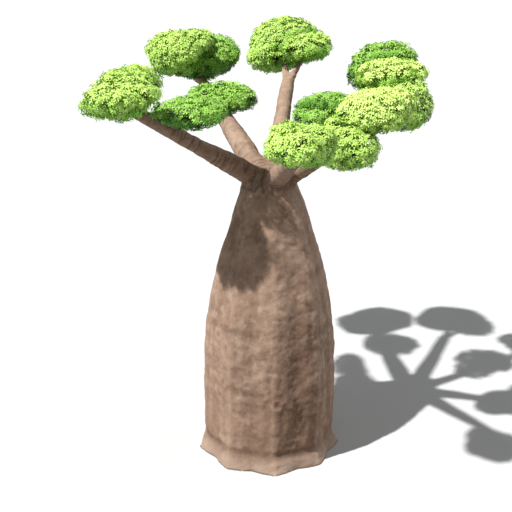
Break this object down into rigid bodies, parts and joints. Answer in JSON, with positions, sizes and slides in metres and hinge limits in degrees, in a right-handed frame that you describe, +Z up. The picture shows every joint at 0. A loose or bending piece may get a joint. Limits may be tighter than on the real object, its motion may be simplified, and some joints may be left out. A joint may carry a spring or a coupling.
{
  "type": "baobab tree",
  "caption": "Stout bottle-trunked tree with bare spreading boughs that end in separate flat-topped cushions of leaves, cut flat at ground level.",
  "frame": {"origin": "middle of the flat cut under the trunk, at ground level", "axes": "+Z up along the trunk, -Y towards the front of the tree, +X towards its right-hand side"},
  "size_m": [8.4202, 10.35, 11.12],
  "materials": {
    "bark": "matte smooth-skinned bark with shallow folds and ridges",
    "leaf_mid": "soft green leaves",
    "leaf_yellow": "young yellow-green leaves",
    "leaf_dark": "older dark green leaves"
  },
  "bodies": {
    "root": {"trunk": "bark", "bough_left": "bark", "bough_rear_left": "bark", "bough_rear_left_upper": "bark", "bough_rear": "bark", "bough_rear_fork_left": "bark", "bough_rear_fork_right": "bark", "bough_rear_right": "bark", "bough_rear_right_upper": "bark", "bough_right": "bark", "bough_right_side": "bark", "bough_front": "bark", "mass_front": "leaf_mid", "mass_right_front": "leaf_yellow", "mass_right_low": "leaf_mid", "mass_left_front": "leaf_mid", "mass_left_top": "leaf_mid", "mass_left_rear": "leaf_mid", "mass_inner_left": "leaf_dark", "mass_rear_left_low": "leaf_dark", "mass_rear_left_outer": "leaf_mid", "mass_rear_left_inner": "leaf_dark", "mass_rear_knob": "leaf_mid", "mass_rear_top": "leaf_mid", "mass_right_top": "leaf_yellow", "mass_right_outer": "leaf_mid", "mass_rear_right_top": "leaf_dark", "mass_rear_right_lip": "leaf_dark", "mass_rear_right_low": "leaf_dark"}
  },
  "joints": []
}
